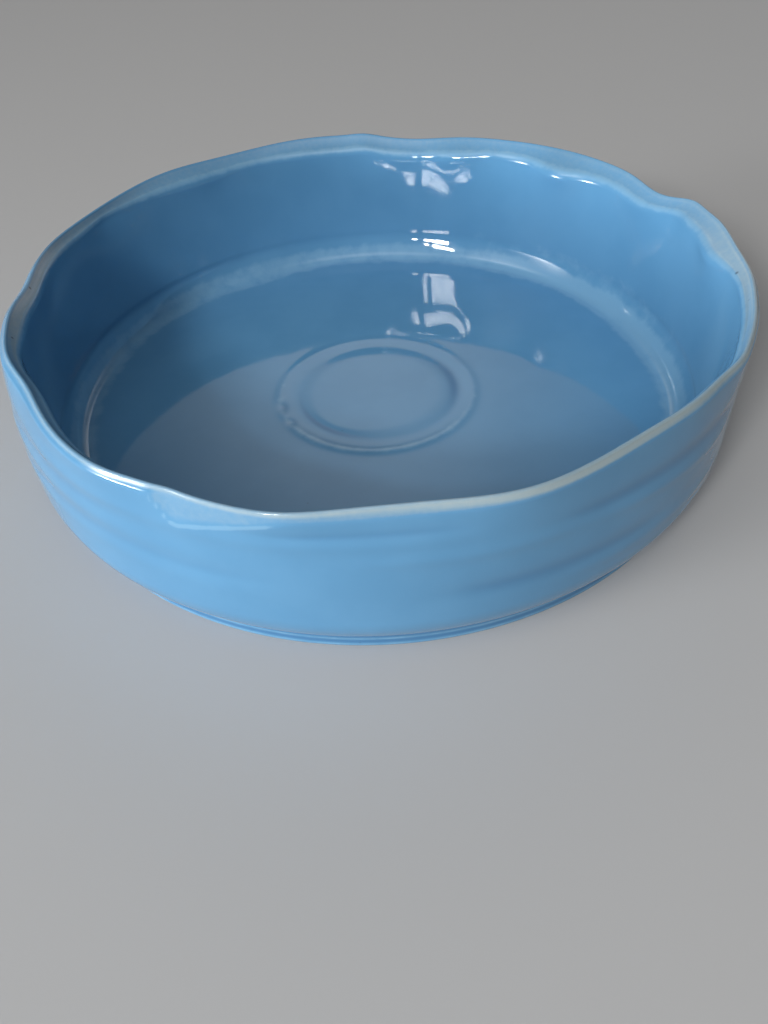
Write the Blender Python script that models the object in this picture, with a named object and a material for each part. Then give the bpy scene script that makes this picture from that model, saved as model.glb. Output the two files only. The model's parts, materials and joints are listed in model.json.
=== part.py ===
"""Wide, low serving bowl, thrown in stoneware and glazed all over.

Units are metres, +Z is up, and the origin is on the table under the middle of the bowl.
The body is one turned section carried round the Z axis. The rim is uneven: a few soft
lobes and dips push it out, in, up and down, and they die away down the wall.
"""
import math

import bpy

MM = 0.001

# ---- driving dimensions -------------------------------------------------------------
COLUMNS = 120                   # columns of faces round the bowl

RIM_RADIUS = 140.0 * MM         # outer edge of the lip, before the lobes
RIM_HEIGHT = 67.6 * MM          # top of the lip above the table, before the lobes
LIP_RADIUS = 0.8 * MM           # rounding of the thin outer lip
LIP_PINCH = 1.3 * MM            # how far the wall leans in just below the lip
PINCH_DEPTH = 3.0 * MM          # and over what height
BEVEL_WIDTH = 5.4 * MM          # sloping band inside the lip, in plan
BEVEL_DROP = 6.2 * MM           # and how far it falls to its inner edge
BEVEL_EDGE_RADIUS = 3.2 * MM    # rounding of that inner edge
WIDE_BEVEL_AZIMUTH = 62.0       # the band is wider round here, in degrees
WIDE_BEVEL_SPREAD = 36.0
WIDE_BEVEL_EXTRA = 4.6 * MM

FOOT_OUTER_RADIUS = 133.2 * MM
FOOT_INNER_RADIUS = 122.0 * MM
FOOT_HEIGHT = 5.6 * MM
FOOT_EDGE = 0.7 * MM            # small round on the foot's two lower edges
FOOT_GROOVE_DEPTH = 0.5 * MM    # fine turned line between foot and wall
RECESS_DEPTH = 2.4 * MM         # underside inside the foot, above the table
RECESS_SLOPE = 2.0 * MM

BELLY_RADIUS = 141.5 * MM       # widest turn of the wall
BELLY_HEIGHT = 21.5 * MM        # where the wall becomes upright
BELLY_TURN_WIDTH = 15.0 * MM    # half-axes of the turn between foot and wall
BELLY_TURN_DROP = 16.2 * MM
BELLY_TURN_START = -63.0        # degrees below level where the turn leaves the foot
THROWING_RINGS = (              # height, outward swell of each soft ring left by the fingers
    (33.0 * MM, 0.35 * MM),
    (43.0 * MM, -0.35 * MM),
    (51.0 * MM, 0.40 * MM),
)

FLOOR_HEIGHT = 8.3 * MM         # inside floor above the table
FLOOR_RADIUS = 121.4 * MM       # where the flat floor ends

# The curve between the inner wall and the floor, going down: the slope it starts from, then
# the radius of each arc, the slope it ends at in degrees and its number of steps. The middle
# arc is almost flat.
CURVE_START = -6.0
CURVE_ARCS = (
    (8.0 * MM, 25.0, 2),
    (60.0 * MM, 31.0, 1),
    (6.0 * MM, 90.0, 4),
)

RING_RADIUS = 41.9 * MM         # crest of the raised line round the middle of the floor
RING_HALF_WIDTH = 3.6 * MM
RING_HEIGHT = 0.4 * MM
DISC_RADIUS = 30.8 * MM         # low disc inside it
DISC_EDGE = 5.0 * MM            # width of the disc's soft shoulder
DISC_HEIGHT = 0.3 * MM
GROOVE_DEPTH = 0.3 * MM         # channel between the disc and the ring

OUTER_WAVE_POWER = 5.0          # how fast the lobes die away down the outside
INNER_WAVE_POWER = 2.0          # and down the inside

# Lobes of the rim: azimuth and half-width in degrees, then outward and upward push.
RIM_LOBES = (
    (-167.0, 5.0, -0.8 * MM, -0.3 * MM),
    (-155.0, 14.0, -2.6 * MM, 0.0 * MM),
    (-149.0, 5.0, -2.0 * MM, 0.2 * MM),
    (-143.0, 5.0, -1.0 * MM, 0.3 * MM),
    (-128.0, 5.0, 0.6 * MM, -0.3 * MM),
    (-118.0, 4.0, -1.4 * MM, 0.0 * MM),
    (-113.0, 12.0, 2.0 * MM, -0.3 * MM),
    (-102.0, 4.5, 1.2 * MM, -0.2 * MM),
    (-90.0, 40.0, 0.3 * MM, -0.3 * MM),
    (-87.0, 7.0, -0.8 * MM, 0.4 * MM),
    (-74.0, 6.0, 1.7 * MM, 0.0 * MM),
    (-55.0, 7.0, -1.7 * MM, 0.3 * MM),
    (-40.0, 4.0, -0.8 * MM, 0.0 * MM),
    (-34.0, 3.0, 0.8 * MM, 0.0 * MM),
    (-25.0, 12.0, 1.9 * MM, 0.0 * MM),
    (-9.0, 5.0, 1.1 * MM, 0.3 * MM),
    (7.0, 6.0, 2.3 * MM, 1.6 * MM),
    (15.0, 2.6, 1.6 * MM, 1.1 * MM),
    (23.0, 4.5, -2.4 * MM, -1.4 * MM),
    (46.0, 12.0, 1.4 * MM, 0.6 * MM),
    (79.0, 6.0, -2.0 * MM, -1.4 * MM),
    (89.5, 2.5, 0.3 * MM, 0.9 * MM),
    (102.0, 9.0, 1.3 * MM, 1.0 * MM),
    (132.0, 7.0, 1.4 * MM, 0.7 * MM),
    (156.0, 8.0, -1.0 * MM, -0.6 * MM),
    (178.0, 8.0, -3.6 * MM, -1.2 * MM),
    (180.0, 4.0, -0.7 * MM, -0.7 * MM),
)

GLAZE_COLOUR = (0.17, 0.36, 0.57, 1.0)
GLAZE_ROUGHNESS = 0.12


def clear_scene():
    """Remove every object that the file opened with."""
    for old in list(bpy.data.objects):
        bpy.data.objects.remove(old, do_unlink=True)


def ease(position):
    """Smooth step from 0 to 1."""
    position = min(max(position, 0.0), 1.0)
    return position * position * (3.0 - 2.0 * position)


def bump(distance, half_width):
    """Rounded hump, 1 at its middle and 0 from half_width outwards."""
    return ease(1.0 - abs(distance) / half_width)


def arc(centre, half_axes, start_deg, end_deg, steps):
    """Points along an elliptical arc, both ends included; 0 degrees is outward, 90 is up."""
    points = []
    for step in range(steps + 1):
        angle = math.radians(start_deg + (end_deg - start_deg) * step / steps)
        radius = centre[0] + half_axes[0] * math.cos(angle)
        height = centre[1] + half_axes[1] * math.sin(angle)
        points.append((radius, height))
    return points


def nearness(azimuth, middle, half_width):
    """1 at the middle azimuth, falling away smoothly on both sides; all in degrees."""
    apart = (azimuth - middle + 180.0) % 360.0 - 180.0
    return math.exp(-0.5 * (apart / half_width) ** 2)


def rim_push(azimuth):
    """Outward and upward push of the rim's lobes at an azimuth in degrees."""
    outward = 0.0
    upward = 0.0
    for lobe_azimuth, half_width, lobe_out, lobe_up in RIM_LOBES:
        share = nearness(azimuth, lobe_azimuth, half_width)
        outward += share * lobe_out
        upward += share * lobe_up
    return outward, upward


def bevel_push(azimuth):
    """How much further in the bevel reaches at an azimuth in degrees."""
    return -WIDE_BEVEL_EXTRA * nearness(azimuth, WIDE_BEVEL_AZIMUTH, WIDE_BEVEL_SPREAD)


def foot_section():
    """Underside recess and foot ring, from the middle outwards."""
    recess_edge = FOOT_INNER_RADIUS - FOOT_EDGE - RECESS_SLOPE
    inner_edge = (FOOT_INNER_RADIUS + FOOT_EDGE, FOOT_EDGE)
    outer_edge = (FOOT_OUTER_RADIUS - FOOT_EDGE, FOOT_EDGE)
    round_axes = (FOOT_EDGE, FOOT_EDGE)
    points = [(0.5 * recess_edge, RECESS_DEPTH), (recess_edge, RECESS_DEPTH)]
    points += arc(inner_edge, round_axes, 180.0, 270.0, 2)
    points += arc(outer_edge, round_axes, -90.0, 0.0, 2)
    points.append((FOOT_OUTER_RADIUS, FOOT_HEIGHT - FOOT_EDGE))
    points.append((FOOT_OUTER_RADIUS - FOOT_GROOVE_DEPTH, FOOT_HEIGHT))
    return points


def wall_section():
    """Outside of the bowl, from above the foot to below the lip."""
    turn_centre = (BELLY_RADIUS - BELLY_TURN_WIDTH, BELLY_HEIGHT)
    turn_axes = (BELLY_TURN_WIDTH, BELLY_TURN_DROP)
    points = arc(turn_centre, turn_axes, BELLY_TURN_START, 0.0, 6)
    top = (RIM_RADIUS + LIP_PINCH, RIM_HEIGHT - PINCH_DEPTH)
    for ring_height, swell in THROWING_RINGS:
        climb = (ring_height - BELLY_HEIGHT) / (top[1] - BELLY_HEIGHT)
        radius = BELLY_RADIUS + climb * (top[0] - BELLY_RADIUS)
        points.append((radius + swell, ring_height))
    points.append(top)
    return points


def bevel_slope():
    """Slope of the bevel, in degrees below level."""
    return math.degrees(math.atan2(BEVEL_DROP, BEVEL_WIDTH))


def lip_section():
    """Thin rounded lip, from its outside to the start of the bevel."""
    centre = (RIM_RADIUS - LIP_RADIUS, RIM_HEIGHT - LIP_RADIUS)
    return arc(centre, (LIP_RADIUS, LIP_RADIUS), 0.0, 90.0 + bevel_slope(), 4)


def floor_curve():
    """Points down the curve at the foot of the inner wall, ending at the floor's edge."""
    steps_down = []
    start = CURVE_START
    for arc_radius, end, steps in CURVE_ARCS:
        points = arc((0.0, 0.0), (arc_radius, arc_radius), -start, -end, steps)
        steps_down += [(after[0] - before[0], after[1] - before[1])
                       for before, after in zip(points, points[1:])]
        start = end
    radius = FLOOR_RADIUS
    height = FLOOR_HEIGHT
    curve = [(radius, height)]
    for step_out, step_up in reversed(steps_down):
        radius -= step_out
        height -= step_up
        curve.append((radius, height))
    return curve[::-1]


def inside_section():
    """Bevel's soft inner edge, inner wall, the curve at its foot and the edge of the floor."""
    slope = bevel_slope()
    fall_to_edge = BEVEL_DROP - BEVEL_EDGE_RADIUS * (1.0 - math.cos(math.radians(slope)))
    edge_centre = (RIM_RADIUS - BEVEL_WIDTH + BEVEL_EDGE_RADIUS,
                   RIM_HEIGHT - fall_to_edge - BEVEL_EDGE_RADIUS)
    points = arc(edge_centre, (BEVEL_EDGE_RADIUS, BEVEL_EDGE_RADIUS), 90.0 + slope, 180.0, 3)
    wall_top = points[-1]
    curve = floor_curve()
    points.append((0.5 * (wall_top[0] + curve[0][0]), 0.5 * (wall_top[1] + curve[0][1])))
    points += curve
    return points


def floor_height_at(radius):
    """Height of the inside floor: low disc, channel and raised ring round it."""
    height = FLOOR_HEIGHT
    height += RING_HEIGHT * bump(radius - RING_RADIUS, RING_HALF_WIDTH)
    channel_middle = 0.5 * (DISC_RADIUS + RING_RADIUS - RING_HALF_WIDTH)
    channel_half_width = RING_RADIUS - RING_HALF_WIDTH - channel_middle + 0.5 * DISC_EDGE
    height -= GROOVE_DEPTH * bump(radius - channel_middle, channel_half_width)
    height += DISC_HEIGHT * ease((DISC_RADIUS - radius) / DISC_EDGE)
    return height


def medallion_section():
    """Raised ring, channel and disc in the middle of the floor, going inwards."""
    radii = (
        0.5 * (FLOOR_RADIUS + RING_RADIUS),
        RING_RADIUS + RING_HALF_WIDTH,
        RING_RADIUS + 0.5 * RING_HALF_WIDTH,
        RING_RADIUS,
        RING_RADIUS - 0.5 * RING_HALF_WIDTH,
        RING_RADIUS - RING_HALF_WIDTH,
        DISC_RADIUS + 0.5 * DISC_EDGE,
        DISC_RADIUS,
        DISC_RADIUS - 0.5 * DISC_EDGE,
        DISC_RADIUS - DISC_EDGE,
    )
    return [(radius, floor_height_at(radius)) for radius in radii]


def ring_of_points(radius, height, inside):
    """One turn of the section round the Z axis, pushed about by the rim's lobes."""
    share = (height / RIM_HEIGHT) ** (INNER_WAVE_POWER if inside else OUTER_WAVE_POWER)
    ring = []
    for column in range(COLUMNS):
        azimuth = 360.0 * column / COLUMNS
        outward, upward = rim_push(azimuth)
        if inside:
            outward += bevel_push(azimuth)
        turned_radius = radius + share * outward
        ring.append((turned_radius * math.cos(math.radians(azimuth)),
                     turned_radius * math.sin(math.radians(azimuth)),
                     height + share * upward))
    return ring


def make_bowl():
    """Turn the whole section round the Z axis and close it at the floor and the underside."""
    outside = foot_section() + wall_section() + lip_section()
    inside = inside_section() + medallion_section()
    rings = [ring_of_points(radius, height, inside=False) for radius, height in outside]
    rings += [ring_of_points(radius, height, inside=True) for radius, height in inside]

    points = [point for ring in rings for point in ring]
    faces = []
    for level in range(len(rings) - 1):
        lower = level * COLUMNS
        upper = lower + COLUMNS
        for column in range(COLUMNS):
            following = (column + 1) % COLUMNS
            faces.append((lower + column, lower + following, upper + following, upper + column))
    faces.append(tuple(reversed(range(COLUMNS))))
    last_ring = (len(rings) - 1) * COLUMNS
    faces.append(tuple(range(last_ring, last_ring + COLUMNS)))

    mesh = bpy.data.meshes.new("bowl")
    mesh.from_pydata(points, [], faces)
    mesh.update()
    mesh.shade_smooth()
    mesh.set_sharp_from_angle(angle=math.radians(40.0))
    mesh.materials.append(make_glaze())
    bowl = bpy.data.objects.new("bowl", mesh)
    bpy.context.scene.collection.objects.link(bowl)
    return bowl


def make_glaze():
    """Glossy light blue glaze."""
    glaze = bpy.data.materials.new("blue_glaze")
    glaze.use_nodes = True
    shader = glaze.node_tree.nodes["Principled BSDF"]
    shader.inputs["Base Color"].default_value = GLAZE_COLOUR
    shader.inputs["Roughness"].default_value = GLAZE_ROUGHNESS
    shader.inputs["Metallic"].default_value = 0.0
    return glaze


def main():
    clear_scene()
    make_bowl()


main()
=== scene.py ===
"""Serving bowl with a glossy light blue glaze: the looks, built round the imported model.

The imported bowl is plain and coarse, so one finer skin replaces it. Lengths below are in
millimetres of the drawing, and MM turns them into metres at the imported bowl's width.
Azimuths are in degrees: 0 is +X (the camera's right), 90 is the far side, -90 the near one.
"""
import json
import math

import bpy
import numpy as np
from mathutils import Matrix, Vector


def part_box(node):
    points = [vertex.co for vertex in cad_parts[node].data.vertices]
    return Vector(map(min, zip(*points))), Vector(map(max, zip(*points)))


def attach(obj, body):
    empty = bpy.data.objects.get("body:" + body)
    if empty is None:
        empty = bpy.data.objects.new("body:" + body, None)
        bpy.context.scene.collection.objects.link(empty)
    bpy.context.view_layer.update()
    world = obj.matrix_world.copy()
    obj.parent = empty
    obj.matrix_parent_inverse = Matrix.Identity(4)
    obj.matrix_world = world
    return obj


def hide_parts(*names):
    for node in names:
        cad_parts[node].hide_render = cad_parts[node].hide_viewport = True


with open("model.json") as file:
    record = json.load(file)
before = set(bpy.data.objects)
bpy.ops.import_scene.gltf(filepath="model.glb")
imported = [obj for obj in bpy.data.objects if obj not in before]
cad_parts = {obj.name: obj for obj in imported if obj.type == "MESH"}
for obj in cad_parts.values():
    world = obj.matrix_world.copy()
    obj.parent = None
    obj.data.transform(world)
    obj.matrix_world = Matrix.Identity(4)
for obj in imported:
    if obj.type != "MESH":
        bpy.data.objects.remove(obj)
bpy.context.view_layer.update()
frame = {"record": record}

LOW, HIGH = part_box("bowl")
MOUNTS = {mount["name"]: mount for mount in frame["record"]["mounts"]}

# ---- driving dimensions -------------------------------------------------------------
DRAWN_WIDTH = 284.4
MM = (HIGH.x - LOW.x) / DRAWN_WIDTH

COLUMNS = 440                   # points in each ring

RIM_RADIUS = 140.0
RIM_HEIGHT = 67.6
LIP_RADIUS = 0.8
LIP_PINCH = 1.3                 # the wall leans in by this much just below the lip
PINCH_DEPTH = 2.2               # over this height
PINCH_DEPTH_NEAR = 1.4          # and over this much more at the near side
PINCH_NEAR_AZIMUTH = -92.0
PINCH_NEAR_HALF_WIDTH = 20.0
PINCH_POWER = 1.15
BEVEL_DROP = 6.2
BEVEL_DROP_FAR = 0.6            # the band is steeper on the far side
BEVEL_SAG = 0.35                # the band is a little hollow
ARRIS_RADIUS = 4.6              # soft edge between the bevel and the inner wall

FOOT_MIDDLE = MOUNTS["foot"]["pos_m"][0] / MM
FOOT_HALF_WIDTH = 5.6
FOOT_HEIGHT = 5.6
FOOT_EDGE = 0.7
FOOT_HOLLOW = 0.25              # the foot's outer side is turned slightly hollow
FOOT_GROOVE_DEPTH = 0.7
FOOT_GROOVE_RISE = 0.45         # the turned line lies this far above the foot
RECESS_DEPTH = 2.4
RECESS_SLOPE = 2.0

BELLY_RADIUS = 141.5
BELLY_HEIGHT = 21.5
BELLY_TURN_WIDTH = 15.0
BELLY_TURN_DROP = 16.2
BELLY_TURN_START = -63.0
WALL_SWELL = 0.5                # the upright wall is a little barrelled outside
INNER_SWELL = 0.25              # and less so inside
INNER_WAVER = 0.2               # share of the hand's unevenness that shows inside

DISC_TOP = MOUNTS["floor_disc"]["pos_m"][2] / MM
DISC_RISE = 0.3
FLOOR_HEIGHT = DISC_TOP - DISC_RISE
FLOOR_RADIUS = 121.4

# The curve between the inner wall and the floor, going down: the slope it starts from, then
# the radius of each arc, the slope it ends at in degrees and its number of steps. The middle
# arc is almost flat.
CURVE_START = -6.0
CURVE_ARCS = (
    (8.0, 25.0, 6),
    (60.0, 31.0, 5),
    (6.0, 90.0, 10),
)

MEDALLION_RADIUS = 50.54        # the middle of the floor, which has finer rings of points
CREST_RADIUS = 41.9             # raised line round the middle of the floor
CREST_HALF_WIDTH = 1.62
CREST_RISE = 0.36
CREST_LOW_AZIMUTH = 80.0
CREST_LOW_SHARE = 0.30          # what is left of its rise there
DISC_RADIUS = 30.8
DISC_FLAT_RADIUS = 25.8
DISC_EDGE_WIDTH = 9.0
CHANNEL_RADIUS = 35.75          # channel between the raised line and the disc
CHANNEL_HALF_WIDTH = 2.1
CHANNEL_DEPTH = 0.30
CHANNEL_LEAST = 0.12            # share of the depth where the channel almost fades out
NICK_RADIUS = 41.4              # nicks in the raised line
NICK_HALF_WIDTH = 1.4
NICK_DEPTH = 0.45

# Changes round the medallion: azimuth, half-width in degrees, amount.
CHANNEL_CHANGES = (
    (5.0, 35.0, 0.80),
    (-135.0, 30.0, 0.40),
)
DISC_EDGE_CHANGES = (
    (-130.0, 25.0, -6.0),
)
NICKS = (
    (-168.0, 4.0, 1.0),
    (-152.0, 3.0, 1.0),
)

# Slow waves round the bowl: waves in a turn, drift in radians a millimetre, start, size.
HAND_WAVES = (
    (3.0, 0.11, 0.0, 0.10),
    (7.0, -0.16, 1.0, 0.07),
    (13.0, 0.23, 2.2, 0.04),
)
FLOOR_WAVES = (
    (5.0, 0.10, 0.0, 0.015),
    (9.0, -0.17, 1.3, 0.008),
)

# How fast the rim's waves die away going down, outside and inside.
OUTER_WAVE_POWER = 5.0
INNER_WAVE_POWER = 7.0
BROAD_REACH = 14.0              # waves much wider than this run straight down the inside

# Waves of the rim: azimuth, half-width in degrees, outward push, upward push.
RIM_WAVES = (
    (-167.0, 5.0, -0.8, -0.3),
    (-155.0, 14.0, -2.6, 0.0),
    (-149.0, 5.0, -2.0, 0.2),
    (-143.0, 5.0, -1.0, 0.3),
    (-128.0, 5.0, 0.6, -0.3),
    (-118.0, 4.0, -1.4, 0.0),
    (-113.0, 12.0, 2.0, -0.3),
    (-102.0, 4.5, 1.2, -0.2),
    (-90.0, 40.0, 0.3, -0.3),
    (-87.0, 7.0, -0.8, 0.4),
    (-74.0, 6.0, 1.7, 0.0),
    (-55.0, 7.0, -1.7, 0.3),
    (-40.0, 4.0, -0.8, 0.0),
    (-34.0, 3.0, 0.8, 0.0),
    (-25.0, 12.0, 1.9, 0.0),
    (-9.0, 5.0, 1.1, 0.3),
    (7.0, 6.0, 2.3, 1.6),
    (15.0, 2.6, 1.6, 1.1),
    (23.0, 4.5, -2.4, -1.4),
    (46.0, 12.0, 1.4, 0.6),
    (79.0, 6.0, -2.0, -1.4),
    (89.5, 2.5, 0.3, 0.9),
    (102.0, 9.0, 1.3, 1.0),
    (132.0, 7.0, 1.4, 0.7),
    (156.0, 8.0, -1.0, -0.6),
    (178.0, 8.0, -3.6, -1.2),
    (180.0, 4.0, -0.7, -0.7),
)

# Width of the sloping band inside the lip: its usual width, then azimuth, half-width, change.
BEVEL_WIDTH = 4.5
BEVEL_CHANGES = (
    (-170.0, 5.0, 1.2),
    (-38.0, 6.0, -0.8),
    (0.0, 3.0, 1.2),
    (3.0, 6.0, 4.4),
    (13.0, 4.0, 2.2),
    (25.0, 6.0, 1.8),
    (38.0, 8.0, 4.2),
    (46.0, 4.0, 5.2),
    (55.0, 8.0, 2.6),
    (69.0, 4.0, 3.2),
    (88.0, 16.0, 4.4),
    (104.0, 6.0, 1.4),
    (129.0, 8.0, 4.0),
    (150.0, 4.0, -1.2),
)

# Throwing rings on the outside: first azimuth and height, last azimuth and height,
# half-width and swell. Each fades out over its last degrees.
THROWING_RINGS = (
    (-150.0, 55.5, -78.0, 54.5, 2.2, 0.30),
    (-110.0, 58.8, -76.0, 58.2, 1.5, -0.34),
    (-98.0, 48.0, -60.0, 47.2, 2.0, 0.42),
    (-68.0, 47.0, -30.0, 41.8, 1.8, 0.50),
    (-74.0, 51.5, -16.0, 49.0, 2.4, -0.45),
    (-170.0, 50.0, -118.0, 50.0, 2.6, -0.24),
    (-165.0, 44.5, -105.0, 44.0, 2.6, 0.24),
    (-165.0, 39.0, -100.0, 38.0, 2.8, -0.26),
    (-160.0, 33.5, -100.0, 33.5, 2.6, 0.20),
    (-88.0, 31.5, -46.0, 31.0, 2.6, -0.42),
    (-70.0, 26.5, -26.0, 26.0, 2.2, 0.40),
    (-20.0, 52.0, 60.0, 50.0, 2.4, 0.42),
    (10.0, 41.0, 110.0, 40.0, 2.6, -0.45),
    (40.0, 56.0, 130.0, 54.5, 2.0, 0.36),
    (70.0, 46.0, 175.0, 45.0, 2.4, 0.42),
    (0.0, 31.0, 90.0, 32.0, 2.6, 0.38),
    (100.0, 35.0, 170.0, 34.0, 2.4, -0.42),
)
RING_FADE = 12.0

# A flat dabbed into the outside of the lip: the crisp edge where it starts, where it dies
# out, and how much deeper and further in the pinch is at its start.
DAB_START = -118.6
DAB_END = -101.0
DAB_EDGE = 4.0
DAB_DEPTH = 11.5
DAB_PINCH = 1.0
DAB_FLAT_RISE = 4.0             # how fast the flat's glaze changes as it deepens
DAB_FLAT_FALL = 3.0             # and how fast it changes back going down
# The line along the dab's lower edge is a painted highlight.
DAB_LINE_RISE = 8.0             # the same for the soft line along its lower edge
DAB_LINE_HALF_WIDTH = 0.7
DAB_LINE_STEEP_WIDTH = 1.2      # the line is this much wider where the dab starts
DAB_LINE_STEEP_LOSS = 0.3       # and this much fainter

FLOOR_EDGE_CHANGES = (
    (118.0, 6.0, -3.5),
    (150.0, 7.0, 1.5),
    (40.0, 8.0, 1.2),
    (84.0, 7.0, -1.0),
    (10.0, 9.0, -1.2),
)

# How many rings of points each part of the section has.
RECESS_SHARES = (0.12, 0.4, 0.7, 0.95, 1.0)
FOOT_EDGE_STEPS = (4, 5)
FOOT_FACE_RINGS = 3
FOOT_WALL_RINGS = 12
BELLY_RINGS = 20
WALL_STEP = 1.2                 # height between rings on the lower wall
UPPER_WALL_START = 52.0         # the rings are closer above here
UPPER_WALL_RINGS = 19
LIP_STEPS = 8
BEVEL_RINGS = 6
ARRIS_STEPS = 8
INNER_WALL_RINGS = 26
FLOOR_RINGS = 14
MEDALLION_RINGS = 38
DISC_SHARES = (0.75, 0.5, 0.25, 0.06)

# ---- marks in the glaze, with painted shade and highlights ----------------------------
# Each mark runs from 0 to about 1: thin on edges, milky where the glaze pools over a
# curve, which also carries painted highlights on some ridges and edges, painted shade in
# hollows, creases and grooves, and bare clay.
MARKS = ("thin", "milky", "painted_shade", "bare")

# Wear of the lip, the sloping band and the outside, and milky glaze on the inner wall:
# azimuth, half-width in degrees, amount. The lip and the inner wall have some all round.
LIP_WEAR_LEAST = 0.35
LIP_WEAR = (
    (-45.0, 55.0, 0.60),
)
BEVEL_WEAR = (
    (178.0, 24.0, 0.7),
    (-10.0, 13.0, 0.6),
)
OUTSIDE_WEAR = (
    (-60.0, 30.0, 0.90),
)
INNER_MILKY_LEAST = 0.25
INNER_MILKY_CHANGES = (
    (30.0, 22.0, 0.25),
)

# Level lines round the foot: height, half-width, strength. The dark lines are painted
# shade under the belly and on the undercut foot; of the light lines, the low one is the
# glaze thinning at the edge and the upper one a painted highlight on the foot's bead.
FOOT_SHADE_LINES = (
    (2.3, 0.55, 1.0),
    (4.9, 0.6, 1.0),
)
FOOT_PALE_AND_HIGHLIGHT_LINES = (
    (0.8, 0.45, 1.0),
    (3.5, 0.35, 0.8),
)
FOOT_EDGE_THIN = 0.30
FOOT_EDGE_MILKY = 0.5
FOOT_EDGE_BARE = 3.0            # the clay ends a third of the way up the outer edge
BELLY_DARK = 0.8                # shadow line above the foot
BELLY_DARK_SHARE = 0.07         # its share of the belly's turn
# Painted highlight on the throwing rings' swells and painted shade in their hollows.
RING_HIGHLIGHT = 0.5
RING_SHADE = 1.3
DAB_THIN = 0.34
# Painted highlight along the dabbed flat's lower edge.
DAB_LINE_HIGHLIGHT = 1.1
LIP_THIN_FALL = 0.5             # share of the lip's wear that is gone at its inner end
BEVEL_THIN = 0.30
BEVEL_WORN_THIN = 0.45
BEVEL_LIP_THIN = 0.40
BEVEL_LIP_SHARE = 0.10
BEVEL_MILKY = 0.15
BEVEL_EDGE_MILKY = 0.75
BEVEL_EDGE_SHARE = 0.4          # share of the band that turns milky towards its inner edge
ARRIS_THIN = 0.25
ARRIS_MILKY = 0.90
ARRIS_FALL = 1.2                # how fast the milky edge fades down the inner wall
INNER_MILKY_REACH = 7.0         # milky glaze climbs this far up the inner wall
CURVE_MILKY = 0.55
CURVE_MILKY_START = 0.35        # share of the floor curve's fall
CURVE_MILKY_WIDTH = 0.3
FLOOR_EDGE_MILKY = 0.7
FLOOR_EDGE_SHARE = 0.03
CREST_MARK_HALF_WIDTH = 1.8
CREST_THIN = 0.12
CREST_MILKY = 0.75

# Painted shade in the medallion's channel and nicks: azimuth and half-width, radius and
# half-width, strength.
SHADE_PATCHES = (
    (-135.0, 24.0, 33.4, 1.0, 0.9),
    (8.0, 26.0, 33.6, 2.2, 0.7),
    (-168.0, 4.0, 40.4, 1.6, 0.5),
    (-152.0, 3.0, 40.4, 1.6, 0.5),
)

# Small blemishes in the glaze: azimuth, radius, height, half-width and colour.
CHIP = (0.360, 0.150, 0.050, 1.0)
INK = (0.030, 0.060, 0.110, 1.0)
BLEMISHES = (
    (127.6, 136.6, 61.6, 0.9, CHIP),
    (128.6, 135.6, 60.4, 0.7, CHIP),
    (179.0, 133.2, 64.6, 0.6, INK),
    (-175.5, 131.0, 63.4, 0.5, INK),
    (-164.5, 134.6, 64.8, 0.6, INK),
    (2.0, 133.6, 61.4, 0.6, INK),
    (-8.0, 137.6, 65.2, 0.8, INK),
    (-17.0, 138.8, 66.2, 0.7, INK),
)


# ---- shapes -------------------------------------------------------------------------
AZIMUTH = np.arange(COLUMNS) * 360.0 / COLUMNS - 180.0
TURN = np.radians(AZIMUTH)


def ease(position):
    """Smooth step from 0 to 1."""
    position = np.clip(position, 0.0, 1.0)
    return position * position * (3.0 - 2.0 * position)


def hump(distance, half_width):
    """Rounded hump, 1 at its middle and near 0 at twice its half-width."""
    return np.exp(-0.5 * (distance / half_width) ** 2)


def turn_from(azimuth):
    """How far round each column is from an azimuth, between -180 and 180 degrees."""
    return (AZIMUTH - azimuth + 180.0) % 360.0 - 180.0


def sum_of_humps(table, value=2):
    """Adds up the rows of a table that starts with azimuth and half-width."""
    total = np.zeros(COLUMNS)
    for row in table:
        total += row[value] * hump(turn_from(row[0]), row[1])
    return total


RIM_OUT = sum_of_humps(RIM_WAVES, 2)
RIM_UP = sum_of_humps(RIM_WAVES, 3)
WORN_LIP = LIP_WEAR_LEAST + sum_of_humps(LIP_WEAR)
WORN_BEVEL = sum_of_humps(BEVEL_WEAR)
WORN_OUTSIDE = sum_of_humps(OUTSIDE_WEAR)
INNER_MILKY = INNER_MILKY_LEAST + sum_of_humps(INNER_MILKY_CHANGES)
BEVEL = BEVEL_WIDTH + sum_of_humps(BEVEL_CHANGES)


def arch(share):
    """Low arch, 1 in the middle of a way and 0 at its ends."""
    return 4.0 * share * (1.0 - share)


def between(count):
    """So many shares of a way, evenly spaced, without its two ends."""
    return np.linspace(0.0, 1.0, count + 2)[1:-1]


def waves(table, distance):
    """Adds up waves round the bowl that drift along the section."""
    return sum(size * np.sin(count * TURN + drift * distance + start)
               for count, drift, start, size in table)


def level_lines(table, height):
    """How strongly a set of level lines shows at one height."""
    return sum(strength * hump(height - middle, half_width)
               for middle, half_width, strength in table)


def broad_part(values, reach):
    """Values smoothed round the bowl over so many degrees each way."""
    steps = np.arange(COLUMNS)
    weights = hump((steps * 360.0 / COLUMNS + 180.0) % 360.0 - 180.0, reach)
    total = np.zeros(COLUMNS)
    for step, weight in zip(steps, weights / weights.sum()):
        total += weight * np.roll(values, step)
    return total


def floor_curve():
    """Points down the curve at the foot of the inner wall, measured from the floor's edge."""
    steps_down = []
    start = CURVE_START
    for arc_radius, end, steps in CURVE_ARCS:
        slopes = np.radians(np.linspace(start, end, steps + 1))
        steps_down += list(zip(arc_radius * np.diff(np.cos(slopes)),
                               -arc_radius * np.diff(np.sin(slopes))))
        start = end
    curve = [np.zeros(2)]
    for step in reversed(steps_down):
        curve.append(curve[-1] - np.array(step))
    return curve[::-1]


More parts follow.
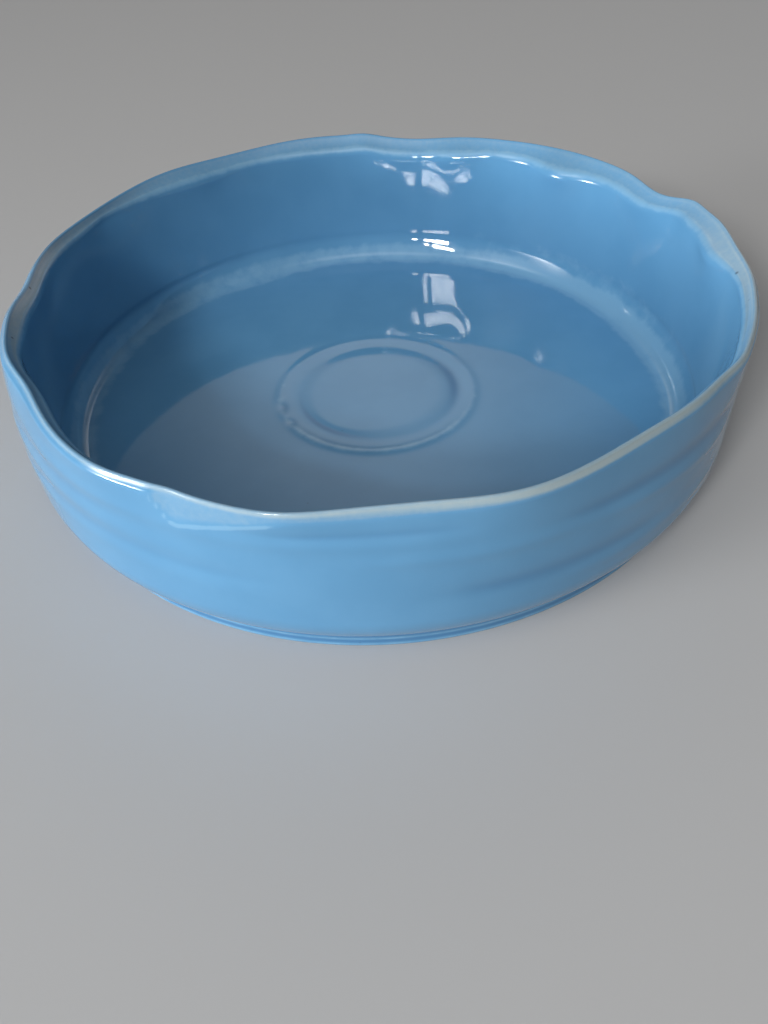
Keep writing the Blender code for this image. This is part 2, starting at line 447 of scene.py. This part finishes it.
class Skin:
    """Rings of points, from the middle of the underside outwards and over to the floor.

    Beside its radius and height each ring keeps four marks for the glaze: where it is
    thin, where it is milky and where a painted highlight lies, where painted shade
    darkens it, and where the clay is bare.
    """

    def __init__(self):
        self.rings = []

    def ring(self, radius, height, thin=0.0, milky=0.0, painted_shade=0.0, bare=0.0):
        """One ring; each value is one number, or one for each column."""
        row = [np.broadcast_to(np.asarray(part, float), (COLUMNS,))
               for part in (radius, height, thin, milky, painted_shade, bare)]
        self.rings.append(row)

    def arc(self, centre, half_axes, start_deg, end_deg, steps, **marks):
        """Rings along an elliptical arc; 0 degrees is outward and 90 is up."""
        for share in np.linspace(0.0, 1.0, steps + 1):
            angle = np.radians(start_deg + (end_deg - start_deg) * share)
            radius = centre[0] + half_axes[0] * np.cos(angle)
            height = centre[1] + half_axes[1] * np.sin(angle)
            here = {name: mark(share) if callable(mark) else mark for name, mark in marks.items()}
            self.ring(radius, height, **here)


def throwing_swell(height):
    """Outward swell of the throwing rings at one height, all the way round."""
    total = np.zeros(COLUMNS)
    for start, start_height, end, end_height, half_width, swell in THROWING_RINGS:
        middle = 0.5 * (start + end)
        reach = 0.5 * (end - start)
        along = turn_from(middle)
        passed = (along + reach) / (2.0 * reach)
        ring_height = start_height + (end_height - start_height) * passed
        strength = ease((reach - np.abs(along)) / RING_FADE)
        total += swell * strength * hump(height - ring_height, half_width)
    return total


def lip_pinch(height):
    """How far the outside leans in just below the lip, and the marks that go with it.

    The marks are the share of the lean at this height, how much of the dabbed flat is
    there, and the painted highlight line along the flat's lower edge.
    """
    along = turn_from(DAB_START)
    started = ease(along / DAB_EDGE)
    steep = 1.0 - started
    dab = started * np.clip(1.0 - along / (DAB_END - DAB_START), 0.0, 1.0)
    near = hump(turn_from(PINCH_NEAR_AZIMUTH), PINCH_NEAR_HALF_WIDTH)
    depth = PINCH_DEPTH + PINCH_DEPTH_NEAR * near + DAB_DEPTH * dab
    below = RIM_HEIGHT - height
    share = np.clip(1.0 - below / depth, 0.0, 1.0)
    lean = (LIP_PINCH + DAB_PINCH * dab) * share ** PINCH_POWER
    flat = ease(DAB_FLAT_RISE * dab) * ease(DAB_FLAT_FALL * share)
    line_width = DAB_LINE_HALF_WIDTH + DAB_LINE_STEEP_WIDTH * steep
    edge_line = ease(DAB_LINE_RISE * dab) * (1.0 - DAB_LINE_STEEP_LOSS * steep)
    return lean, share, flat, edge_line * hump(below - depth, line_width)


def make_underside(skin):
    """Recess and foot ring."""
    inner = FOOT_MIDDLE - FOOT_HALF_WIDTH
    outer = FOOT_MIDDLE + FOOT_HALF_WIDTH
    recess_edge = inner - FOOT_EDGE - RECESS_SLOPE
    for share in RECESS_SHARES:
        skin.ring(recess_edge * share, RECESS_DEPTH)
    inner_steps, outer_steps = FOOT_EDGE_STEPS
    corner = (FOOT_EDGE, FOOT_EDGE)
    skin.arc((inner + FOOT_EDGE, FOOT_EDGE), corner, 180.0, 270.0, inner_steps,
             thin=1.0, bare=lambda share: ease(2.0 * share))
    for share in between(FOOT_FACE_RINGS):
        skin.ring(inner + FOOT_EDGE + share * (outer - inner - 2.0 * FOOT_EDGE), 0.0, bare=1.0)
    skin.arc((outer - FOOT_EDGE, FOOT_EDGE), corner, -90.0, 0.0, outer_steps,
             thin=FOOT_EDGE_THIN, milky=FOOT_EDGE_MILKY,
             bare=lambda share: ease(1.0 - FOOT_EDGE_BARE * share))
    for share in np.linspace(0.0, 1.0, FOOT_WALL_RINGS + 1)[1:]:
        height = FOOT_EDGE + share * (FOOT_HEIGHT - FOOT_EDGE)
        # Painted shade and a painted highlight in level lines up the foot.
        skin.ring(outer - FOOT_HOLLOW * math.sin(math.pi * share), height,
                  milky=level_lines(FOOT_PALE_AND_HIGHLIGHT_LINES, height),
                  painted_shade=level_lines(FOOT_SHADE_LINES, height))
    # Painted shade in the turned line under the belly.
    skin.ring(outer - FOOT_GROOVE_DEPTH, FOOT_HEIGHT + FOOT_GROOVE_RISE, painted_shade=1.0)


def make_outer_wall(skin):
    """Belly and upright wall, up to the lip."""
    centre = (BELLY_RADIUS - BELLY_TURN_WIDTH, BELLY_HEIGHT)
    axes = (BELLY_TURN_WIDTH, BELLY_TURN_DROP)
    for share in np.linspace(0.0, 1.0, BELLY_RINGS):
        angle = math.radians(BELLY_TURN_START * (1.0 - share))
        height = centre[1] + axes[1] * math.sin(angle)
        radius = centre[0] + axes[0] * math.cos(angle) + share * waves(HAND_WAVES, height)
        skin.ring(radius, height, painted_shade=BELLY_DARK * hump(share, BELLY_DARK_SHARE))
    top = RIM_HEIGHT - LIP_RADIUS
    lower = np.arange(BELLY_HEIGHT + WALL_STEP, UPPER_WALL_START, WALL_STEP)
    upper = np.linspace(UPPER_WALL_START, top, UPPER_WALL_RINGS + 1)[:-1]
    for height in np.concatenate([lower, upper]):
        climb = (height - BELLY_HEIGHT) / (top - BELLY_HEIGHT)
        share = (height / RIM_HEIGHT) ** OUTER_WAVE_POWER
        radius = BELLY_RADIUS + climb * (RIM_RADIUS + LIP_PINCH - BELLY_RADIUS)
        radius += WALL_SWELL * math.sin(math.pi * climb)
        # The rings get a painted highlight where they swell and painted shade where they sink.
        rings = throwing_swell(height)
        # edge_line is a painted highlight along the dab's lower edge.
        pinch, pinched, flat, edge_line = lip_pinch(height)
        radius = radius + share * RIM_OUT + rings + waves(HAND_WAVES, height) - pinch
        skin.ring(radius, height + share * RIM_UP,
                  thin=np.maximum(WORN_OUTSIDE * ease(2.0 * pinched), DAB_THIN * flat),
                  milky=DAB_LINE_HIGHLIGHT * edge_line + RING_HIGHLIGHT * np.maximum(rings, 0.0),
                  painted_shade=RING_SHADE * np.maximum(-rings, 0.0))


def make_lip(skin):
    """Lip, sloping band and its soft inner edge; gives the inner wall's upper edge."""
    pinch = lip_pinch(RIM_HEIGHT)[0]
    crest = RIM_RADIUS + LIP_PINCH + RIM_OUT - pinch
    arris = RIM_RADIUS + RIM_OUT - BEVEL
    drop = BEVEL_DROP + BEVEL_DROP_FAR * np.sin(TURN)
    slope = np.arctan2(drop, BEVEL)
    bevel_end = 90.0 + np.degrees(slope)
    centre = (crest - LIP_RADIUS, RIM_HEIGHT + RIM_UP - LIP_RADIUS)
    skin.arc(centre, (LIP_RADIUS, LIP_RADIUS), 0.0, bevel_end, LIP_STEPS,
             thin=lambda share: WORN_LIP * (1.0 - LIP_THIN_FALL * share))

    start = (centre[0] - LIP_RADIUS * np.sin(slope), centre[1] + LIP_RADIUS * np.cos(slope))
    end_radius = arris + ARRIS_RADIUS * (1.0 - np.sin(slope))
    end_height = start[1] - (start[0] - end_radius) * np.tan(slope)
    for share in between(BEVEL_RINGS):
        lip_line = BEVEL_LIP_THIN * hump(share, BEVEL_LIP_SHARE) * WORN_LIP
        edge_share = ease((share - 1.0 + BEVEL_EDGE_SHARE) / BEVEL_EDGE_SHARE)
        sag = BEVEL_SAG * math.sin(math.pi * share)
        skin.ring(start[0] + share * (end_radius - start[0]),
                  start[1] + share * (end_height - start[1]) - sag,
                  thin=BEVEL_THIN + BEVEL_WORN_THIN * WORN_BEVEL + lip_line,
                  milky=BEVEL_MILKY + BEVEL_EDGE_MILKY * edge_share)
    centre = (arris + ARRIS_RADIUS, end_height - ARRIS_RADIUS * np.cos(slope))
    skin.arc(centre, (ARRIS_RADIUS, ARRIS_RADIUS), bevel_end, 180.0, ARRIS_STEPS,
             thin=lambda share: ARRIS_THIN * (1.0 - share),
             milky=lambda share: ARRIS_MILKY * ease(ARRIS_FALL * (1.0 - share)))
    return arris, centre[1]


def make_inside(skin, arris, arris_height):
    """Inner wall, the curve at its foot and the flat floor as far as the medallion."""
    curve = floor_curve()
    foot_out, foot_up = curve[0]
    foot_radius = FLOOR_RADIUS + foot_out
    foot_height = FLOOR_HEIGHT + foot_up
    broad = broad_part(arris, BROAD_REACH)
    for share in between(INNER_WALL_RINGS):
        height = arris_height + share * (foot_height - arris_height)
        wave = (height / arris_height) ** INNER_WAVE_POWER
        radius = broad + share * (foot_radius - broad) + wave * (arris - broad)
        radius = radius + INNER_SWELL * arch(share)
        radius = radius + INNER_WAVER * (1.0 - wave) * waves(HAND_WAVES, height)
        climbed = (height - foot_height) / INNER_MILKY_REACH
        skin.ring(radius, height, milky=INNER_MILKY * ease(1.0 - climbed))
    edge = FLOOR_RADIUS + sum_of_humps(FLOOR_EDGE_CHANGES)
    for out, up in curve:
        fallen = 1.0 - up / foot_up
        light = ease((fallen - CURVE_MILKY_START) / CURVE_MILKY_WIDTH)
        skin.ring(edge + out * (foot_radius - edge) / foot_out, FLOOR_HEIGHT + up,
                  milky=INNER_MILKY + CURVE_MILKY * light)
    for share in between(FLOOR_RINGS):
        radius = edge + share * (MEDALLION_RADIUS - edge)
        skin.ring(radius, FLOOR_HEIGHT + waves(FLOOR_WAVES, radius),
                  milky=FLOOR_EDGE_MILKY * hump(share, FLOOR_EDGE_SHARE))


def make_medallion(skin):
    """Raised line, channel and low disc in the middle of the floor."""
    high = 0.5 - 0.5 * np.cos(np.radians(AZIMUTH - CREST_LOW_AZIMUTH))
    crest_share = CREST_LOW_SHARE + (1.0 - CREST_LOW_SHARE) * high
    channel_depth = CHANNEL_DEPTH * (CHANNEL_LEAST + sum_of_humps(CHANNEL_CHANGES))
    edge_width = DISC_EDGE_WIDTH + sum_of_humps(DISC_EDGE_CHANGES)
    nick_depth = NICK_DEPTH * sum_of_humps(NICKS)
    for radius in np.linspace(MEDALLION_RADIUS, DISC_FLAT_RADIUS, MEDALLION_RINGS):
        from_crest = radius - CREST_RADIUS
        height = FLOOR_HEIGHT + CREST_RISE * crest_share * hump(from_crest, CREST_HALF_WIDTH)
        height = height - channel_depth * hump(radius - CHANNEL_RADIUS, CHANNEL_HALF_WIDTH)
        height = height + DISC_RISE * ease((DISC_RADIUS - radius) / edge_width + 0.5)
        height = height - nick_depth * hump(radius - NICK_RADIUS, NICK_HALF_WIDTH)
        crest_mark = crest_share * hump(from_crest, CREST_MARK_HALF_WIDTH)
        # Painted shade where the channel and the nicks lie in shadow.
        shade_patches = sum(strength * hump(turn_from(azimuth), turn_width) * hump(radius - middle, width)
                    for azimuth, turn_width, middle, width, strength in SHADE_PATCHES)
        skin.ring(radius, height, thin=CREST_THIN * crest_mark,
                  milky=CREST_MILKY * crest_mark, painted_shade=shade_patches)
    for share in DISC_SHARES:
        skin.ring(DISC_FLAT_RADIUS * share, DISC_TOP)


def skin_mesh(name, skin):
    """Mesh of the rings, closed with a fan at each end, with the marks as attributes."""
    table = np.array(skin.rings)
    radius = table[:, 0] * MM
    height = table[:, 1] * MM
    points = np.stack([radius * np.cos(TURN), radius * np.sin(TURN), height], axis=-1)
    ends = [(0.0, 0.0, float(height[0].mean())), (0.0, 0.0, float(height[-1].mean()))]
    vertices = np.concatenate([points.reshape(-1, 3), np.array(ends)])

    count = len(table)
    column = np.arange(COLUMNS)
    following = (column + 1) % COLUMNS
    faces = []
    for level in range(count - 1):
        lower = level * COLUMNS
        upper = lower + COLUMNS
        faces += np.stack([lower + column, lower + following,
                           upper + following, upper + column], axis=-1).tolist()
    underside_middle = count * COLUMNS
    floor_middle = underside_middle + 1
    last = (count - 1) * COLUMNS
    pairs = list(zip(column.tolist(), following.tolist()))
    faces += [(underside_middle, after, here) for here, after in pairs]
    faces += [(floor_middle, last + here, last + after) for here, after in pairs]

    mesh = bpy.data.meshes.new(name)
    mesh.from_pydata(vertices.tolist(), [], faces)
    mesh.update()
    mesh.shade_smooth()
    for row, mark in enumerate(MARKS, start=2):
        values = table[:, row].reshape(-1)
        values = np.concatenate([values, [values[0], values[-1]]]).astype(np.float32)
        layer = mesh.attributes.new(mark, "FLOAT", "POINT")
        layer.data.foreach_set("value", values)
    return mesh


def make_bowl():
    """The whole bowl as one closed skin."""
    skin = Skin()
    make_underside(skin)
    make_outer_wall(skin)
    arris, arris_height = make_lip(skin)
    make_inside(skin, arris, arris_height)
    make_medallion(skin)
    mesh = skin_mesh("glazed_bowl", skin)
    mesh.materials.append(make_glaze())
    bowl = bpy.data.objects.new("glazed_bowl", mesh)
    bpy.context.scene.collection.objects.link(bowl)
    return bowl


# ---- glaze --------------------------------------------------------------------------
GLAZE_BLUE = (0.112, 0.298, 0.505, 1.0)
GLAZE_DEEP = (0.103, 0.282, 0.484, 1.0)
# Colour of the painted shade laid into hollows, creases and grooves.
PAINTED_SHADE_BLUE = (0.050, 0.165, 0.340, 1.0)
# Milky glaze, also used as a painted highlight on some ridges and edges.
GLAZE_MILKY_AND_HIGHLIGHT = (0.220, 0.420, 0.600, 1.0)
GLAZE_THIN = (0.420, 0.490, 0.480, 1.0)
BARE_CLAY = (0.520, 0.440, 0.340, 1.0)
SPECK = (0.050, 0.110, 0.190, 1.0)
GLAZE_IOR = 1.52

# How much of a mark's colour covers the glaze where the mark is full.
PAINTED_SHADE_COVER = 0.75
MILKY_AND_HIGHLIGHT_COVER = 0.55
THIN_COVER = 0.85
SPECK_COVER = 0.30
BLEMISH_COVER = 0.9

# Width of the lumps in each noise, and the distance between specks.
CLOUD_GRAIN = 28.0
STREAK_GRAIN = 7.0
FINE_GRAIN = 2.2
CLAY_GRAIN = 0.7
SPECK_SPACING = 26.0

# How far a noise moves the edge of each mark.
THIN_UNSETTLED = 0.25
MILKY_AND_HIGHLIGHT_STREAKED = 0.9
MILKY_AND_HIGHLIGHT_UNSETTLED = 0.25
BARE_UNSETTLED = 0.5

# Where each smooth step starts and ends.
CLOUD_STEP = (0.35, 0.65)
STREAK_STEP = (0.3, 0.7)
THIN_STEP = (0.10, 1.0)
MILKY_AND_HIGHLIGHT_STEP = (0.35, 0.95)
PAINTED_SHADE_STEP = (0.0, 1.0)
BARE_STEP = (0.42, 0.58)
SPECK_STEP = (0.010, 0.020)     # in shares of the speck spacing
BLEMISH_STEP = (0.5, 1.6)       # in half-widths of the blemish

ROUGHNESS_LOW = 0.030
ROUGHNESS_HIGH = 0.060
ROUGHNESS_THIN = 0.06           # added where the glaze is thin
ROUGHNESS_BARE = 0.62           # added on bare clay
STREAK_BUMP = 0.018
FINE_BUMP = 0.004
CLAY_BUMP = 0.12


class Nodes:
    """Short ways of adding nodes to one tree."""

    def __init__(self, tree):
        self.tree = tree

    def feed(self, sockets, values):
        """Gives each socket its value, or links it to another node's output."""
        for socket, value in zip(sockets, values):
            if isinstance(value, bpy.types.NodeSocket):
                self.tree.links.new(value, socket)
            else:
                socket.default_value = value

    def add(self, kind, settings=None, **inputs):
        """A node of one kind, its settings, and its inputs by name."""
        node = self.tree.nodes.new(kind)
        for name, value in (settings or {}).items():
            setattr(node, name, value)
        sockets = [node.inputs[name.replace("_", " ")] for name in inputs]
        self.feed(sockets, inputs.values())
        return node

    def attribute(self, name):
        return self.add("ShaderNodeAttribute", {"attribute_name": name}).outputs["Fac"]

    def noise(self, place, grain, detail=3.0, roughness=0.5):
        """Noise with lumps about as wide as grain, in millimetres."""
        node = self.add("ShaderNodeTexNoise", Vector=place, Scale=1.0 / (grain * MM),
                        Detail=detail, Roughness=roughness)
        return node.outputs["Fac"]

    def maths(self, operation, first, second):
        node = self.add("ShaderNodeMath", {"operation": operation})
        self.feed(node.inputs, (first, second))
        return node.outputs["Value"]

    def vector_maths(self, operation, *values, output="Vector"):
        node = self.add("ShaderNodeVectorMath", {"operation": operation})
        self.feed(node.inputs, values)
        return node.outputs[output]

    def plus_part(self, value, part, other):
        """A value with part of another added to it."""
        return self.maths("ADD", value, self.maths("MULTIPLY", other, part))

    def unsettle(self, value, noise, amount):
        """A value moved up and down by a noise, whose middle is at a half."""
        return self.plus_part(value, amount, self.maths("SUBTRACT", noise, 0.5))

    def ramp(self, value, step, out_low=0.0, out_high=1.0):
        """Smooth step of a value, between the two ends of the step."""
        node = self.add("ShaderNodeMapRange", {"interpolation_type": "SMOOTHSTEP"},
                        Value=value, From_Min=step[0], From_Max=step[1],
                        To_Min=out_low, To_Max=out_high)
        return node.outputs["Result"]

    def mix(self, share, first, second):
        """Colour between two others."""
        node = self.add("ShaderNodeMix", {"data_type": "RGBA"})
        sockets = [node.inputs[index] for index in (0, 6, 7)]
        self.feed(sockets, (share, first, second))
        return node.outputs[2]

    def cover(self, colour, share, strength, other):
        """A colour covered by another, where and as far as a share says."""
        return self.mix(self.maths("MULTIPLY", share, strength), colour, other)

    def bump(self, height, distance, **inputs):
        """Surface direction of a relief that is so many millimetres deep."""
        node = self.add("ShaderNodeBump", Height=height, Distance=distance * MM, Strength=1.0,
                        **inputs)
        return node.outputs["Normal"]


def blemish_share(nodes, place, azimuth, radius, height, half_width):
    """Nearly 1 inside a small round mark at a place on the bowl and 0 outside it."""
    turn = math.radians(azimuth)
    middle = Vector((radius * math.cos(turn), radius * math.sin(turn), height)) * MM
    away = nodes.vector_maths("DISTANCE", place, middle, output="Value")
    step = [share * half_width * MM for share in BLEMISH_STEP]
    return nodes.ramp(away, step, BLEMISH_COVER, 0.0)


def make_glaze():
    """Glossy blue glaze over buff stoneware, thin on edges, with painted shade and highlights."""
    material = bpy.data.materials.new("blue_glaze")
    material.use_nodes = True
    tree = material.node_tree
    shader = tree.nodes["Principled BSDF"]
    nodes = Nodes(tree)
    place = nodes.add("ShaderNodeTexCoord").outputs["Object"]

    clouds = nodes.noise(place, CLOUD_GRAIN)
    streaks = nodes.noise(place, STREAK_GRAIN)
    fine = nodes.noise(place, FINE_GRAIN, detail=4.0, roughness=0.6)
    grain = nodes.noise(place, CLAY_GRAIN, roughness=0.6)

    thin = nodes.unsettle(nodes.attribute("thin"), fine, THIN_UNSETTLED)
    thin = nodes.ramp(thin, THIN_STEP)
    # Milky glaze and painted highlights share this mask.
    milky = nodes.unsettle(nodes.attribute("milky"), streaks, MILKY_AND_HIGHLIGHT_STREAKED)
    milky = nodes.unsettle(milky, fine, MILKY_AND_HIGHLIGHT_UNSETTLED)
    milky = nodes.ramp(milky, MILKY_AND_HIGHLIGHT_STEP)
    # Mask of the painted shade.
    painted_shade = nodes.ramp(nodes.attribute("painted_shade"), PAINTED_SHADE_STEP)
    bare = nodes.unsettle(nodes.attribute("bare"), fine, BARE_UNSETTLED)
    bare = nodes.ramp(bare, BARE_STEP)

    colour = nodes.mix(nodes.ramp(clouds, CLOUD_STEP), GLAZE_DEEP, GLAZE_BLUE)
    # Painted shade over the blue, then milky glaze with its painted highlights.
    colour = nodes.cover(colour, painted_shade, PAINTED_SHADE_COVER, PAINTED_SHADE_BLUE)
    colour = nodes.cover(colour, milky, MILKY_AND_HIGHLIGHT_COVER, GLAZE_MILKY_AND_HIGHLIGHT)
    colour = nodes.cover(colour, thin, THIN_COVER, GLAZE_THIN)
    cells = nodes.add("ShaderNodeTexVoronoi", Vector=place, Scale=1.0 / (SPECK_SPACING * MM))
    specks = nodes.ramp(cells.outputs["Distance"], SPECK_STEP, SPECK_COVER, 0.0)
    colour = nodes.mix(specks, colour, SPECK)
    for azimuth, radius, height, half_width, tint in BLEMISHES:
        share = blemish_share(nodes, place, azimuth, radius, height, half_width)
        colour = nodes.mix(share, colour, tint)
    colour = nodes.mix(bare, colour, BARE_CLAY)
    tree.links.new(colour, shader.inputs["Base Color"])

    roughness = nodes.ramp(streaks, STREAK_STEP, ROUGHNESS_LOW, ROUGHNESS_HIGH)
    roughness = nodes.plus_part(roughness, ROUGHNESS_THIN, thin)
    roughness = nodes.plus_part(roughness, ROUGHNESS_BARE, bare)
    tree.links.new(roughness, shader.inputs["Roughness"])

    normal = nodes.bump(streaks, STREAK_BUMP)
    normal = nodes.bump(fine, FINE_BUMP, Normal=normal)
    normal = nodes.bump(nodes.maths("MULTIPLY", grain, bare), CLAY_BUMP, Normal=normal)
    tree.links.new(normal, shader.inputs["Normal"])
    shader.inputs["IOR"].default_value = GLAZE_IOR
    return material


# ---- stage, light and camera ---------------------------------------------------------
FLOOR_SIDE = 6.0                # metres
FLOOR_GREY = (0.50, 0.50, 0.50, 1.0)
FLOOR_ROUGHNESS = 0.8

# Soft glows of a dim room: azimuth, elevation, sharpness, colour times strength.
AMBIENT = (0.03, 0.03, 0.03)
GLOWS = (
    (-160.0, 3.0, 90.0, (53.0, 53.0, 53.0)),
    (-150.0, 40.0, 40.0, (3.2, 3.2, 3.2)),
    (-90.0, 64.0, 16.0, (1.8, 1.8, 1.8)),
    (90.0, 36.0, 40.0, (1.15, 1.10, 1.05)),
    (55.0, 14.0, 30.0, (1.0, 1.0, 1.0)),
)

BACKDROP = (0.35, 0.35, 0.35, 1.0)      # plain grey beyond the floor in side views

# Window behind the camera: watts to a square metre, then each pane's azimuth, elevation,
# distance, width and height in metres.
WINDOW_POWER = 225.0
WINDOW_PANES = (
    (-122.1, 32.0, 2.0, 0.29, 0.09),
    (-118.6, 26.0, 2.0, 0.33, 0.18),
    (-114.4, 32.0, 2.0, 0.05, 0.09),
    (-109.3, 26.0, 2.0, 0.06, 0.18),
)

CAMERA_LENS = 29.88
CAMERA_SENSOR = 36.0
CAMERA_PITCH = -42.87           # degrees; level is 0
CAMERA_ROLL = -3.38
CAMERA_BACK = 307.02            # distance in front of the bowl's middle
CAMERA_HEIGHT = 220.92          # height above the table


def direction(azimuth, elevation):
    """Unit vector towards an azimuth and elevation."""
    turn = math.radians(azimuth)
    lift = math.radians(elevation)
    level = math.cos(lift)
    return Vector((level * math.cos(turn), level * math.sin(turn), math.sin(lift)))


def make_floor():
    """Plain pale floor."""
    side = FLOOR_SIDE
    mesh = bpy.data.meshes.new("studio_floor")
    corners = [(-side, -side, 0.0), (side, -side, 0.0), (side, side, 0.0), (-side, side, 0.0)]
    mesh.from_pydata(corners, [], [(0, 1, 2, 3)])
    material = bpy.data.materials.new("studio_floor")
    material.use_nodes = True
    shader = material.node_tree.nodes["Principled BSDF"]
    shader.inputs["Base Color"].default_value = FLOOR_GREY
    shader.inputs["Roughness"].default_value = FLOOR_ROUGHNESS
    mesh.materials.append(material)
    floor = bpy.data.objects.new("studio_floor", mesh)
    bpy.context.scene.collection.objects.link(floor)


def make_room():
    """Soft glows as the world's light; the camera sees a plain backdrop in their place."""
    world = bpy.data.worlds.new("studio_room")
    bpy.context.scene.world = world
    world.use_nodes = True
    tree = world.node_tree
    nodes = Nodes(tree)
    place = nodes.add("ShaderNodeTexCoord").outputs["Generated"]
    total = AMBIENT
    for azimuth, elevation, sharpness, colour in GLOWS:
        facing = nodes.vector_maths("DOT_PRODUCT", place, direction(azimuth, elevation),
                                    output="Value")
        glow = nodes.maths("POWER", nodes.maths("MAXIMUM", facing, 0.0), sharpness)
        total = nodes.vector_maths("MULTIPLY_ADD", glow, colour, total)
    seen_directly = nodes.add("ShaderNodeLightPath").outputs["Is Camera Ray"]
    backdrop = nodes.mix(seen_directly, total, BACKDROP)
    tree.links.new(backdrop, tree.nodes["Background"].inputs["Color"])


def make_window():
    """Window behind the camera, as bright panes whose reflections show in the glaze."""
    middle = Vector((0.0, 0.0, HIGH.z))
    for index, (azimuth, elevation, distance, width, height) in enumerate(WINDOW_PANES):
        towards = direction(azimuth, elevation)
        light = bpy.data.lights.new(f"window_pane_{index}", "AREA")
        light.shape = "RECTANGLE"
        light.size = width
        light.size_y = height
        light.energy = WINDOW_POWER * width * height
        pane = bpy.data.objects.new(light.name, light)
        pane.location = middle + distance * towards
        pane.rotation_euler = towards.to_track_quat("Z", "Y").to_euler()
        bpy.context.scene.collection.objects.link(pane)


def make_camera():
    """Camera above and in front of the bowl, looking down into it."""
    data = bpy.data.cameras.new("camera")
    data.lens = CAMERA_LENS
    data.sensor_width = CAMERA_SENSOR
    camera = bpy.data.objects.new("camera", data)
    turn = Matrix.Rotation(math.radians(90.0 + CAMERA_PITCH), 4, "X")
    turn = turn @ Matrix.Rotation(math.radians(CAMERA_ROLL), 4, "Z")
    place = Matrix.Translation((0.0, -CAMERA_BACK * MM, CAMERA_HEIGHT * MM))
    camera.matrix_world = place @ turn
    bpy.context.scene.collection.objects.link(camera)
    bpy.context.scene.camera = camera


def main():
    make_camera()
    make_floor()
    make_room()
    make_window()
    bowl = make_bowl()
    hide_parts("bowl")
    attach(bowl, "root")
    bpy.context.scene.view_settings.view_transform = "Standard"


main()
